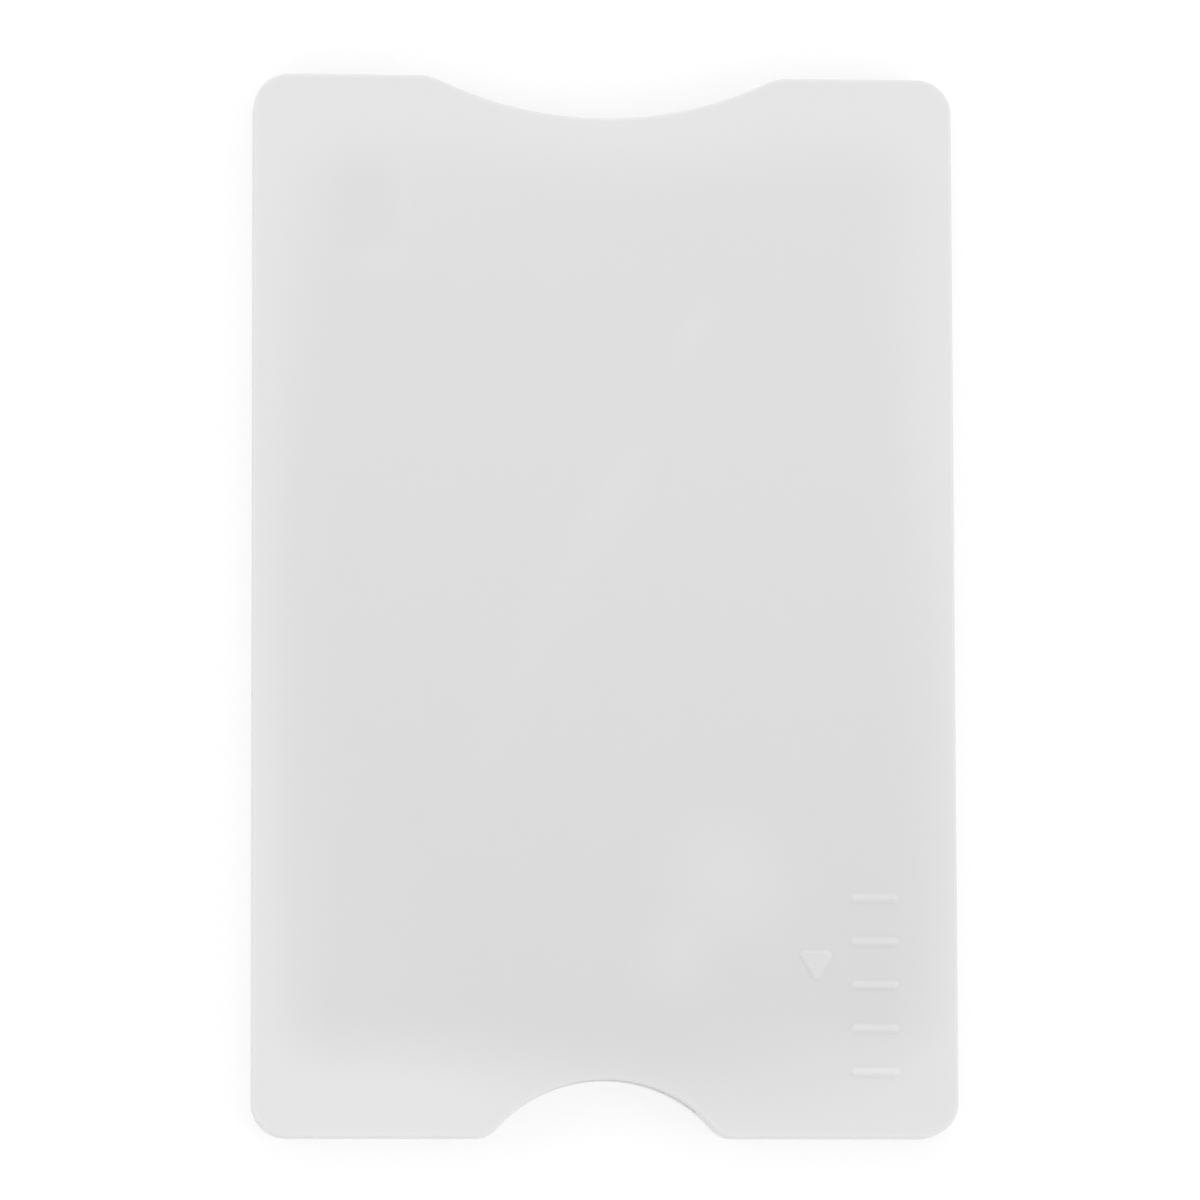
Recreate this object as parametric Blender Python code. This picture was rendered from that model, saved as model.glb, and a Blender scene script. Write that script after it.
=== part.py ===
"""Rigid sleeve for one standard payment card, with a shield in each wall.

Two moulded half shells are welded together at their rims. The card goes in at the wide open
end (+Y) and is pushed out again with a finger in the round notch at the closed end (-Y).
A foil panel is stuck into a shallow pocket inside each wall and covered by a clear slip film.

The sleeve lies on its rear wall: X is across it, +Y is the open end, +Z is the front face.
The origin is the middle of the rear face. All lengths are in metres.
"""

from math import atan2, cos, pi, radians, sin, sqrt

import bmesh
import bpy

MM = 0.001

# Outside of the sleeve
WIDTH = 60.0 * MM
LENGTH = 91.0 * MM
THICKNESS = 4.0 * MM
CORNER_R = 3.0 * MM
EDGE_R = 0.20 * MM  # rounding of the outer edge of each shell

# The two notches, both cut through both shells, and how roundly each runs out into its straight end
THUMB_R = 32.7 * MM
THUMB_DEPTH = 3.6 * MM
THUMB_LIP_R = 4.0 * MM
PUSH_R = 12.3 * MM
PUSH_DEPTH = 4.9 * MM
PUSH_LIP_R = 2.3 * MM

# Joint between the shells
PARTING_GAP = 0.1 * MM
SEAM_CHAMFER = 0.08 * MM
SHELL_H = (THICKNESS - PARTING_GAP) / 2

# Inside of the sleeve. The card is 53.98 x 85.60 x 0.76 mm with 3.2 mm corners.
WALL = 1.0 * MM
SLOT_W = 54.6 * MM
SLOT_CORNER_R = 0.8 * MM
END_WALL = 2.2 * MM
LEDGE_W = 0.7 * MM  # the card's long edges ride on narrow ledges, clear of the slip film
END_LEDGE_W = 3.6 * MM  # the closed end's ledge reaches past the push-out notch
LEDGE_H = 0.5 * MM
MOUTH_CHAMFER = 0.3 * MM  # lead-in along the inner edge of the open end

# Foil panel and the pocket that takes it
SHIELD_W = 52.0 * MM
SHIELD_L = 79.0 * MM
SHIELD_R = 2.0 * MM
SHIELD_Y = 0.5 * MM  # the panel sits a little nearer the open end
POCKET_DEPTH = 0.2 * MM
POCKET_MARGIN = 0.2 * MM

# The three layers of the shield, thicker than real so that each is a sound solid
LAYER_T = 0.08 * MM
LAYER_GAP = 0.08 * MM
ADHESIVE_INSET = 0.5 * MM

# Tongue on the rear shell's rim, groove in the front shell's rim
TONGUE_W = 0.7 * MM
TONGUE_H = 0.45 * MM
TONGUE_CHAMFER = 0.15 * MM
TONGUE_BEND_R = 1.9 * MM
TONGUE_TOP_Y = 43.0 * MM
TONGUE_END_X = 12.2 * MM  # it stops short of the push-out notch
GROOVE_SIDE_GAP = 0.15 * MM
GROOVE_END_GAP = 0.1 * MM

# Bumps on the side walls that hold the card lightly
BUMP_R = 8.0 * MM
BUMP_PROUD = 0.25 * MM
BUMP_Y = 34.0 * MM
BUMP_BELOW_RIM = 0.1 * MM

# Raised grip bars and insertion arrow on the front face
RELIEF_H = 0.2 * MM
RELIEF_EDGE_R = 0.2 * MM  # the whole side of a raised shape is round
BAR_LENGTH = 4.3 * MM
BAR_W = 0.9 * MM
BAR_COUNT = 5
BAR_PITCH = 3.7 * MM
BARS_X = 22.9 * MM
BARS_Y = -32.6 * MM
ARROW_SIDE = 3.6 * MM
ARROW_CORNER_R = 0.45 * MM
ARROW_X = 17.9 * MM
ARROW_Y = -30.6 * MM

# How far a tool runs past the stock that it cuts or joins
OVERRUN = 0.5 * MM
MOUTH_OVERRUN = 2.0 * MM
ROOT = 0.2 * MM  # depth to which an added feature is sunk into its shell

# Steps along arcs
CORNER_STEPS = 8
LIP_STEPS = 5
THUMB_STEPS = 28
PUSH_STEPS = 24
EDGE_STEPS = 3
SMALL_STEPS = 5

SHARP_ANGLE = radians(35)


def arc(centre_x, centre_y, radius, start, end, steps):
    """Points on an arc from angle start to angle end, both included."""
    points = []
    for i in range(steps + 1):
        angle = start + (end - start) * i / steps
        points.append((centre_x + radius * cos(angle), centre_y + radius * sin(angle)))
    return points


def turned(points):
    """The points turned half a turn about the origin."""
    return [(-x, -y) for x, y in points]


def notch_run(half_length, radius, depth, lip_r, steps):
    """The edge of a notch in the +Y end, from its right lip to its left lip."""
    lip_y = half_length - lip_r
    centre_y = half_length + radius - depth
    lip_x = sqrt((radius + lip_r) ** 2 - (centre_y - lip_y) ** 2)
    turn = atan2(centre_y - lip_y, -lip_x)
    right_lip = arc(lip_x, lip_y, lip_r, pi / 2, turn, LIP_STEPS)
    bowl = arc(0, centre_y, radius, turn - pi, -turn, steps)
    left_lip = arc(-lip_x, lip_y, lip_r, pi - turn, pi / 2, LIP_STEPS)
    return right_lip + bowl[1:-1] + left_lip


def thumb_run(inset):
    """The edge of the thumb notch, moved into the material by inset."""
    return notch_run(
        LENGTH / 2 - inset, THUMB_R + inset, THUMB_DEPTH, THUMB_LIP_R - inset, THUMB_STEPS
    )


def push_run(inset):
    """The edge of the push-out notch, moved into the material by inset."""
    return turned(
        notch_run(LENGTH / 2 - inset, PUSH_R + inset, PUSH_DEPTH, PUSH_LIP_R - inset, PUSH_STEPS)
    )


def sleeve_outline(inset=0.0):
    """The outline of the sleeve, anticlockwise, moved into the material by inset."""
    corner_x = WIDTH / 2 - CORNER_R
    corner_y = LENGTH / 2 - CORNER_R
    radius = CORNER_R - inset
    points = push_run(inset)
    points += arc(corner_x, -corner_y, radius, -pi / 2, 0, CORNER_STEPS)
    points += arc(corner_x, corner_y, radius, 0, pi / 2, CORNER_STEPS)
    points += thumb_run(inset)
    points += arc(-corner_x, corner_y, radius, pi / 2, pi, CORNER_STEPS)
    points += arc(-corner_x, -corner_y, radius, pi, 1.5 * pi, CORNER_STEPS)
    return points


def rounded_box(low_x, low_y, high_x, high_y, radius):
    """A rectangle with rounded corners, anticlockwise."""
    points = []
    corners = [
        (high_x - radius, high_y - radius),
        (low_x + radius, high_y - radius),
        (low_x + radius, low_y + radius),
        (high_x - radius, low_y + radius),
    ]
    for quarter, (x, y) in enumerate(corners):
        start = quarter * pi / 2
        points += arc(x, y, radius, start, start + pi / 2, SMALL_STEPS)
    return points


def mouth_band(inset):
    """The space outside the open end, bounded by its edge moved inwards by inset."""
    half_width = SLOT_W / 2 - LEDGE_W - MOUTH_CHAMFER
    edge_y = LENGTH / 2 - inset
    far_y = LENGTH / 2 + MOUTH_OVERRUN
    inner = [(half_width, edge_y)] + thumb_run(inset) + [(-half_width, edge_y)]
    return inner[::-1] + [(half_width, far_y), (-half_width, far_y)]


def tongue_ribbon(half_width, trim):
    """The L-shaped line of the tongue along the right rail and round the closed end.

    Its ends are shortened by trim, which is negative for the groove.
    """
    rail_x = (SLOT_W / 2 + WIDTH / 2) / 2
    end_y = -(LENGTH - END_WALL) / 2
    bend_x = rail_x - TONGUE_BEND_R
    bend_y = end_y + TONGUE_BEND_R
    top_y = TONGUE_TOP_Y - trim
    end_x = TONGUE_END_X + trim
    outer = arc(bend_x, bend_y, TONGUE_BEND_R + half_width, 0, -pi / 2, SMALL_STEPS)
    inner = arc(bend_x, bend_y, TONGUE_BEND_R - half_width, -pi / 2, 0, SMALL_STEPS)
    down = [(rail_x + half_width, top_y)] + outer + [(end_x, end_y - half_width)]
    back = [(end_x, end_y + half_width)] + inner + [(rail_x - half_width, top_y)]
    return (down + back)[::-1]


def bump_outline():
    """The card bump on the right side wall: a shallow arc sunk into the wall."""
    centre_x = SLOT_W / 2 + BUMP_R - BUMP_PROUD
    root_x = SLOT_W / 2 + ROOT
    half_angle = atan2(sqrt(BUMP_R**2 - (centre_x - root_x) ** 2), centre_x - root_x)
    return arc(centre_x, BUMP_Y, BUMP_R, pi - half_angle, pi + half_angle, SMALL_STEPS * 2)


def bar_outline(centre_x, centre_y, inset):
    """A grip bar: a pill lying across the sleeve."""
    radius = BAR_W / 2 - inset
    reach = BAR_LENGTH / 2 - BAR_W / 2
    right = arc(centre_x + reach, centre_y, radius, -pi / 2, pi / 2, SMALL_STEPS)
    left = arc(centre_x - reach, centre_y, radius, pi / 2, 1.5 * pi, SMALL_STEPS)
    return right + left


def arrow_outline(inset):
    """The insertion arrow: a triangle with round corners that points to the closed end."""
    corner_r = ARROW_CORNER_R - inset
    reach = ARROW_SIDE / sqrt(3) - 2 * ARROW_CORNER_R
    points = []
    for third in range(3):
        aim = -pi / 2 + third * 2 * pi / 3
        x = ARROW_X + reach * cos(aim)
        y = ARROW_Y + reach * sin(aim)
        points += arc(x, y, corner_r, aim - pi / 3, aim + pi / 3, SMALL_STEPS)
    return points


def mirrored(points):
    """The points mirrored to the left side of the sleeve, still anticlockwise."""
    return [(-x, y) for x, y in points][::-1]


def add_loft(bm, rings):
    """Adds a closed solid to bm: rings of equally many points, each at a height, with end caps."""
    loops = []
    for points, height in rings:
        loops.append([bm.verts.new((x, y, height)) for x, y in points])
    count = len(loops[0])
    for low, high in zip(loops, loops[1:]):
        for i in range(count):
            j = (i + 1) % count
            bm.faces.new((low[i], low[j], high[j], high[i]))
    bm.faces.new(loops[0][::-1])
    bm.faces.new(loops[-1])


def new_object(name, bm):
    """Turns bm into an object, shaded smooth between its sharp edges."""
    bmesh.ops.recalc_face_normals(bm, faces=bm.faces)
    mesh = bpy.data.meshes.new(name)
    bm.to_mesh(mesh)
    bm.free()
    mesh.shade_smooth()
    mesh.set_sharp_from_angle(angle=SHARP_ANGLE)
    obj = bpy.data.objects.new(name, mesh)
    bpy.context.scene.collection.objects.link(obj)
    return obj


def solid(name, lofts):
    """One object made of one or more separate lofts."""
    bm = bmesh.new()
    for rings in lofts:
        add_loft(bm, rings)
    return new_object(name, bm)


def prism(points, low, high):
    """The rings of a straight-sided solid."""
    return [(points, low), (points, high)]


def rounded_top(outline, low, high, edge_r):
    """The rings of a raised shape with a rounded top edge; outline(inset) gives its points."""
    rings = [(outline(0.0), low)]
    for i in range(EDGE_STEPS + 1):
        angle = (pi / 2) * i / EDGE_STEPS
        inset = edge_r * (1 - cos(angle))
        rings.append((outline(inset), high - edge_r * (1 - sin(angle))))
    return rings


def apply_tool(target, tool, operation):
    """Cuts or joins target with tool, which stays as a hidden wire guide."""
    tool.hide_render = True
    tool.display_type = "WIRE"
    modifier = target.modifiers.new(tool.name, "BOOLEAN")
    modifier.operation = operation
    modifier.solver = "EXACT"
    modifier.object = tool


def material(name, colour, roughness, metallic=0.0, alpha=1.0):
    """A Principled material of one colour."""
    made = bpy.data.materials.new(name)
    made.use_nodes = True
    shader = made.node_tree.nodes["Principled BSDF"]
    shader.inputs["Base Color"].default_value = (*colour, 1.0)
    shader.inputs["Roughness"].default_value = roughness
    shader.inputs["Metallic"].default_value = metallic
    shader.inputs["Alpha"].default_value = alpha
    return made


def rear_level(depth):
    """Height of a point that lies depth inside the rear face."""
    return depth


def front_level(depth):
    """Height of a point that lies depth inside the front face."""
    return THICKNESS - depth


def shell_blank(name, level):
    """A solid half shell: rounded outer edge, small chamfer where it meets the other half."""
    rings = []
    for i in range(EDGE_STEPS + 1):
        angle = (pi / 2) * i / EDGE_STEPS
        inset = EDGE_R * (1 - sin(angle))
        rings.append((sleeve_outline(inset), level(EDGE_R * (1 - cos(angle)))))
    rings.append((sleeve_outline(), level(SHELL_H - SEAM_CHAMFER)))
    rings.append((sleeve_outline(SEAM_CHAMFER), level(SHELL_H)))
    return solid(name, [rings])


def cut_card_space(shell, side, level):
    """Cuts the space for the card: slot, ledges, lead-in and shield pocket."""
    slot_half = SLOT_W / 2
    closed_y = -LENGTH / 2 + END_WALL
    open_y = LENGTH / 2 + MOUTH_OVERRUN
    slot = rounded_box(-slot_half, closed_y, slot_half, open_y, SLOT_CORNER_R)
    slot_rings = prism(slot, level(WALL + LEDGE_H), level(SHELL_H + OVERRUN))
    apply_tool(shell, solid(side + "_slot_cut", [slot_rings]), "DIFFERENCE")

    well_half = slot_half - LEDGE_W
    well = rounded_box(
        -well_half, closed_y + END_LEDGE_W, well_half, open_y + OVERRUN, SLOT_CORNER_R
    )
    well_rings = prism(well, level(WALL), level(WALL + LEDGE_H + ROOT))
    apply_tool(shell, solid(side + "_well_cut", [well_rings]), "DIFFERENCE")

    pocket_half_w = SHIELD_W / 2 + POCKET_MARGIN
    pocket_half_l = SHIELD_L / 2 + POCKET_MARGIN
    pocket = rounded_box(
        -pocket_half_w,
        SHIELD_Y - pocket_half_l,
        pocket_half_w,
        SHIELD_Y + pocket_half_l,
        SHIELD_R,
    )
    pocket_rings = prism(pocket, level(WALL - POCKET_DEPTH), level(WALL + ROOT))
    apply_tool(shell, solid(side + "_pocket_cut", [pocket_rings]), "DIFFERENCE")

    past = 0.1 * MM  # the slope is carried on past both of its edges
    lead_in_rings = [
        (mouth_band(-past), level(WALL - MOUTH_CHAMFER - past)),
        (mouth_band(MOUTH_CHAMFER + past), level(WALL + past)),
    ]
    apply_tool(shell, solid(side + "_lead_in_cut", [lead_in_rings]), "DIFFERENCE")


def add_card_bumps(shell, side, level):
    """Adds the bump on each side wall that rubs on the card's edge."""
    bump = bump_outline()
    low = level(WALL + LEDGE_H - ROOT)
    high = level(SHELL_H - BUMP_BELOW_RIM)
    bumps = solid(side + "_bumps", [prism(bump, low, high), prism(mirrored(bump), low, high)])
    apply_tool(shell, bumps, "UNION")


def add_tongue(shell):
    """Adds the tongue on the rear shell's rim, in two halves beside the push-out notch."""
    half = TONGUE_W / 2
    low = rear_level(SHELL_H - ROOT)
    top = rear_level(SHELL_H + TONGUE_H)
    right = [
        (tongue_ribbon(half, 0.0), low),
        (tongue_ribbon(half, 0.0), top - TONGUE_CHAMFER),
        (tongue_ribbon(half - TONGUE_CHAMFER, TONGUE_CHAMFER), top),
    ]
    left = [(mirrored(points), height) for points, height in right]
    apply_tool(shell, solid("rear_tongue", [right, left]), "UNION")


def cut_groove(shell):
    """Cuts the groove that takes the tongue into the front shell's rim."""
    ribbon = tongue_ribbon(TONGUE_W / 2 + GROOVE_SIDE_GAP, -GROOVE_SIDE_GAP)
    bottom = rear_level(SHELL_H + TONGUE_H + GROOVE_END_GAP)
    rim = front_level(SHELL_H + OVERRUN)
    halves = [prism(ribbon, rim, bottom), prism(mirrored(ribbon), rim, bottom)]
    apply_tool(shell, solid("front_groove_cut", halves), "DIFFERENCE")


def add_relief(shell):
    """Adds the raised grip bars and the insertion arrow on the front face."""
    low = front_level(ROOT)
    high = front_level(-RELIEF_H)
    lofts = []
    for i in range(BAR_COUNT):
        y = BARS_Y + (i - (BAR_COUNT - 1) / 2) * BAR_PITCH

        def bar(inset, bar_y=y):
            return bar_outline(BARS_X, bar_y, inset)

        lofts.append(rounded_top(bar, low, high, RELIEF_EDGE_R))
    lofts.append(rounded_top(arrow_outline, low, high, RELIEF_EDGE_R))
    apply_tool(shell, solid("front_relief", lofts), "UNION")


def shield_layer(name, level, place, inset, look):
    """One layer of a shield; place 0 lies next to the pocket's floor."""
    half_w = SHIELD_W / 2 - inset
    half_l = SHIELD_L / 2 - inset
    outline = rounded_box(
        -half_w, SHIELD_Y - half_l, half_w, SHIELD_Y + half_l, SHIELD_R - inset
    )
    outer = WALL - POCKET_DEPTH + LAYER_GAP + place * (LAYER_T + LAYER_GAP)
    layer = solid(name, [prism(outline, level(outer), level(outer + LAYER_T))])
    layer.data.materials.append(look)
    return layer


def clear_scene():
    """Removes whatever objects the open file holds."""
    for obj in list(bpy.data.objects):
        bpy.data.objects.remove(obj)


def main():
    clear_scene()
    polystyrene = material("milky polystyrene", (0.74, 0.74, 0.74), 0.42)
    foil = material("aluminium foil", (0.80, 0.81, 0.83), 0.30, metallic=1.0)
    adhesive = material("acrylic adhesive film", (0.72, 0.70, 0.62), 0.60)
    slip_film = material("clear polyester film", (0.85, 0.88, 0.90), 0.15, alpha=0.35)

    rear = shell_blank("rear_shell", rear_level)
    cut_card_space(rear, "rear", rear_level)
    add_card_bumps(rear, "rear", rear_level)
    add_tongue(rear)
    rear.data.materials.append(polystyrene)

    front = shell_blank("front_shell", front_level)
    cut_card_space(front, "front", front_level)
    add_card_bumps(front, "front", front_level)
    cut_groove(front)
    add_relief(front)
    front.data.materials.append(polystyrene)

    for side, level in (("rear", rear_level), ("front", front_level)):
        shield_layer(side + "_adhesive", level, 0, ADHESIVE_INSET, adhesive)
        shield_layer(side + "_shield", level, 1, 0.0, foil)
        shield_layer(side + "_liner", level, 2, 0.0, slip_film)


main()
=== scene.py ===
# %% [markdown]
# # A rigid sleeve for one payment card
# The object is a flat sleeve of milky polystyrene. It is moulded as two half shells that are welded at
# their rims, and each wall has a shield panel of aluminium foil stuck inside it. A card slides in at the
# wide open end, and a finger pushes it out again through the round notch at the closed end.
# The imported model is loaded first. It fixes where everything is, so every later piece is made to fit it.

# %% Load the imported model
from math import acos, ceil, cos, hypot, pi, radians, sin, sqrt, tan

import bmesh
import bpy
from mathutils import Matrix, Vector


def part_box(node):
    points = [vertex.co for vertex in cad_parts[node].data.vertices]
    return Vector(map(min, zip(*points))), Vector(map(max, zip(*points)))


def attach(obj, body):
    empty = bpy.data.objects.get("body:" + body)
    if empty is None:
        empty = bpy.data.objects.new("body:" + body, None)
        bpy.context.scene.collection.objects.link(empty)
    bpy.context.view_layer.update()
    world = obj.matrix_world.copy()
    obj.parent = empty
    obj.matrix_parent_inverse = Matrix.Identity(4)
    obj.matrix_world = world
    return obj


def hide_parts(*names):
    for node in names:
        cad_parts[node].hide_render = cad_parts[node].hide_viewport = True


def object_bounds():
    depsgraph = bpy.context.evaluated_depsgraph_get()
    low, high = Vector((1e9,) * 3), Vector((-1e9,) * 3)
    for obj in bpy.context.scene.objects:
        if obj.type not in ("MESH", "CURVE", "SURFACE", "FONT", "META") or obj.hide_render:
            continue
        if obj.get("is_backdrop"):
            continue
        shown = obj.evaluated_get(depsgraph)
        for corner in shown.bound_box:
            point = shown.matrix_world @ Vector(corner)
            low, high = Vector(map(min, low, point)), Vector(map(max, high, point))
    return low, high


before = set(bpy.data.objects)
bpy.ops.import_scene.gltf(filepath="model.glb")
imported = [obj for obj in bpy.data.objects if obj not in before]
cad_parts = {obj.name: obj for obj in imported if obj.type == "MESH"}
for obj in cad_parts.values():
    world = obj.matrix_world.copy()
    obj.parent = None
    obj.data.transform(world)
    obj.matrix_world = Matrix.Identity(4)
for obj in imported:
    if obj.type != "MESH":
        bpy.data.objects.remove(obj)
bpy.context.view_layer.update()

# %% [markdown]
# ## The sizes that everything follows
# The outer sizes come from the model itself. The notch radii, the wall and the space for the card are the
# real object's own sizes, so they are written once here in millimetres and used by every piece.

# %% Sizes of the sleeve
MM = 0.001

rear_low, rear_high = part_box("rear_shell")
_, front_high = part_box("front_shell")
WIDTH = rear_high.x - rear_low.x
LENGTH = rear_high.y - rear_low.y
RELIEF_H = 0.2 * MM
THICKNESS = front_high.z - RELIEF_H

CORNER_R = 3.0 * MM
EDGE_R = 0.20 * MM
THUMB_R = 32.7 * MM
THUMB_DEPTH = 3.6 * MM
THUMB_LIP_R = 4.0 * MM
PUSH_R = 12.3 * MM
PUSH_DEPTH = 4.9 * MM
PUSH_LIP_R = 2.3 * MM

SLOT_W = 54.6 * MM
SLOT_H = 1.0 * MM
SLOT_CORNER_R = 0.8 * MM
END_WALL = 2.2 * MM
LEDGE_W = 0.7 * MM
END_LEDGE_W = 3.6 * MM
WALL = 1.0 * MM
print(f"sleeve {WIDTH / MM:.2f} x {LENGTH / MM:.2f} x {THICKNESS / MM:.2f} mm")

# %% [markdown]
# ## The camera
# The photograph is taken almost square on, from a little below and to the left of the middle, with a long
# lens. The tilt and the distance were worked out from how the outline narrows towards the open end. The
# camera is aimed at a point close to the middle of the sleeve and turned by a fraction of a degree.

# %% Camera
CAMERA_DISTANCE = 0.70
CAMERA_BELOW = radians(6.75)
CAMERA_LEFT = radians(4.35)
CAMERA_ROLL = radians(-0.17)
CAMERA_TARGET = Vector((-0.28 * MM, 0.46 * MM, THICKNESS / 2))
PIXELS_PER_METRE = 11696.5
IMAGE_SIDE = 1200
SENSOR = 36.0

level = cos(CAMERA_BELOW)
back = Vector((-sin(CAMERA_LEFT) * level, -sin(CAMERA_BELOW), cos(CAMERA_LEFT) * level))
right = Vector((0, 1, 0)).cross(back).normalized()
up = back.cross(right)
rolled_right = cos(CAMERA_ROLL) * right + sin(CAMERA_ROLL) * up
rolled_up = cos(CAMERA_ROLL) * up - sin(CAMERA_ROLL) * right

camera = bpy.data.objects.new("camera", bpy.data.cameras.new("camera"))
bpy.context.scene.collection.objects.link(camera)
camera.data.sensor_width = SENSOR
camera.data.lens = PIXELS_PER_METRE * CAMERA_DISTANCE / IMAGE_SIDE * SENSOR
camera.data.clip_end = 10.0
turned = Matrix((rolled_right, rolled_up, back)).transposed().to_4x4()
camera.matrix_world = Matrix.Translation(CAMERA_TARGET + back * CAMERA_DISTANCE) @ turned
bpy.context.scene.camera = camera
print(f"lens {camera.data.lens:.1f} mm at {CAMERA_DISTANCE} m")

# %% [markdown]
# ## Working in edit mode from a script
# An operator acts on whatever is selected, so each step first deselects everything and then picks what it
# needs by its place.

# %% Helpers for selecting and editing
TINY = 0.002 * MM


def select_only(*objects):
    """Selects these objects alone, with the last one active."""
    bpy.ops.object.select_all(action="DESELECT")
    for obj in objects:
        obj.select_set(True)
    bpy.context.view_layer.objects.active = objects[-1]


def start_edit(obj):
    """Opens obj in edit mode with nothing selected."""
    select_only(obj)
    bpy.ops.object.mode_set(mode="EDIT")
    bpy.ops.mesh.select_mode(type="VERT")
    bpy.ops.mesh.select_all(action="DESELECT")


def end_edit():
    """Goes back to object mode."""
    bpy.ops.object.mode_set(mode="OBJECT")


def pick(obj, kind, wanted):
    """Selects the parts of obj that wanted says yes to. kind is VERT, EDGE or FACE."""
    bpy.ops.mesh.select_mode(type=kind)
    bpy.ops.mesh.select_all(action="DESELECT")
    mesh = bmesh.from_edit_mesh(obj.data)
    parts = {"VERT": mesh.verts, "EDGE": mesh.edges, "FACE": mesh.faces}[kind]
    count = 0
    for part in parts:
        if wanted(part):
            part.select_set(True)
            count += 1
    mesh.select_flush_mode()
    bmesh.update_edit_mesh(obj.data)
    return count


def at_height(z):
    """A test for edges that lie level at height z."""
    return lambda edge: all(abs(v.co.z - z) < TINY for v in edge.verts)


def upright(edge):
    """True for an edge that stands straight up."""
    a, b = edge.verts
    return hypot(a.co.x - b.co.x, a.co.y - b.co.y) < TINY


# %% [markdown]
# ## Finishing a step
# A new primitive gets its name and keeps its place in its mesh, modifiers are applied at once, and a
# closed mesh has its faces turned outwards and is tested for holes.

# %% Helpers for placing, modifiers and tests


def place_down(name):
    """Names the new primitive and puts its place and size into its mesh."""
    obj = bpy.context.object
    obj.name = obj.data.name = name
    bpy.ops.object.transform_apply(location=True, rotation=True, scale=True)
    return obj


def apply_modifier(obj, kind, **settings):
    """Adds one modifier with its settings and applies it."""
    select_only(obj)
    modifier = obj.modifiers.new(kind.lower(), kind)
    for name, value in settings.items():
        setattr(modifier, name, value)
    bpy.ops.object.modifier_apply(modifier=modifier.name)


def faces_out(obj):
    """Turns every face of a closed mesh outwards."""
    start_edit(obj)
    bpy.ops.mesh.select_all(action="SELECT")
    bpy.ops.mesh.normals_make_consistent(inside=False)
    end_edit()


def is_closed(obj):
    """True if every edge of the mesh joins exactly two faces."""
    mesh = bmesh.new()
    mesh.from_mesh(obj.data)
    closed = all(edge.is_manifold for edge in mesh.edges)
    mesh.free()
    return closed


# %% [markdown]
# ## Drawing with a pen
# The outline of the sleeve is straight runs joined by true arcs, some turning left and some right. A wall
# with that outline can be drawn as with a pen: an upright edge is extruded for each straight run and spun
# for each arc. The same pen draws solid ribs when it carries a face in place of an edge. The alternative,
# cutting round cylinders out of a block, leaves short facets where a notch meets the straight end, and
# those spoil the small rounding there.

# %% The pen
FACET = 0.45 * MM
FACET_TURN = radians(7)


class Pen:
    """Carries the selected edge or face along a flat path. Angles grow to the left."""

    def __init__(self, x, y, heading):
        self.x, self.y, self.heading = x, y, heading

    def ahead(self, length):
        step = Vector((cos(self.heading), sin(self.heading), 0)) * length
        bpy.ops.mesh.extrude_region_move(TRANSFORM_OT_translate={"value": step})
        self.x += step.x
        self.y += step.y

    def turn(self, radius, angle):
        side = 1 if angle > 0 else -1
        centre_x = self.x - side * radius * sin(self.heading)
        centre_y = self.y + side * radius * cos(self.heading)
        steps = ceil(max(radius * abs(angle) / FACET, abs(angle) / FACET_TURN))
        bpy.ops.mesh.spin(
            steps=steps, angle=-angle, center=(centre_x, centre_y, 0), axis=(0, 0, 1)
        )
        self.heading += angle
        self.x = centre_x + side * radius * sin(self.heading)
        self.y = centre_y - side * radius * cos(self.heading)


def notch_sweep(radius, lip_r, depth):
    """How far each arc of a notch turns, and half the width it takes out of the end."""
    angle = acos(1 - depth / (radius + lip_r))
    return angle, (radius + lip_r) * sin(angle)


THUMB_TURN, THUMB_HALF = notch_sweep(THUMB_R, THUMB_LIP_R, THUMB_DEPTH)
PUSH_TURN, PUSH_HALF = notch_sweep(PUSH_R, PUSH_LIP_R, PUSH_DEPTH)
print(f"thumb notch {2 * THUMB_HALF / MM:.1f} mm wide, push-out notch {2 * PUSH_HALF / MM:.1f} mm wide")

# %% [markdown]
# ## The two half shells
# Each shell starts as a block with the sleeve's outline, rounded on its outer edge like any moulding that
# has to feel smooth in the hand. Where the halves meet, a tiny chamfer leaves the fine seam line that runs
# round the real sleeve. Only the right half of the wall is drawn, and a mirror makes the left half.

# %% Draw one shell block
SEAM_GAP = 0.02 * MM
SEAM_CHAMFER = 0.08 * MM
ROUND = 0.5  # bevel profile of a quarter circle
EDGE_SEGMENTS = 6
SEAM_SEGMENTS = 2


def upright_edge(name, x, y, low, high):
    """A mesh of one upright edge, opened in edit mode and selected."""
    middle = (low + high) / 2
    bpy.ops.mesh.primitive_plane_add(size=1, location=(x + MM / 2, y, middle), rotation=(pi / 2, 0, 0))
    bpy.context.object.scale = (MM, high - low, 1)
    obj = place_down(name)
    start_edit(obj)
    pick(obj, "VERT", lambda v: v.co.x > x + MM / 2)
    bpy.ops.mesh.delete(type="VERT")
    bpy.ops.mesh.select_all(action="SELECT")
    return obj


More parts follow.
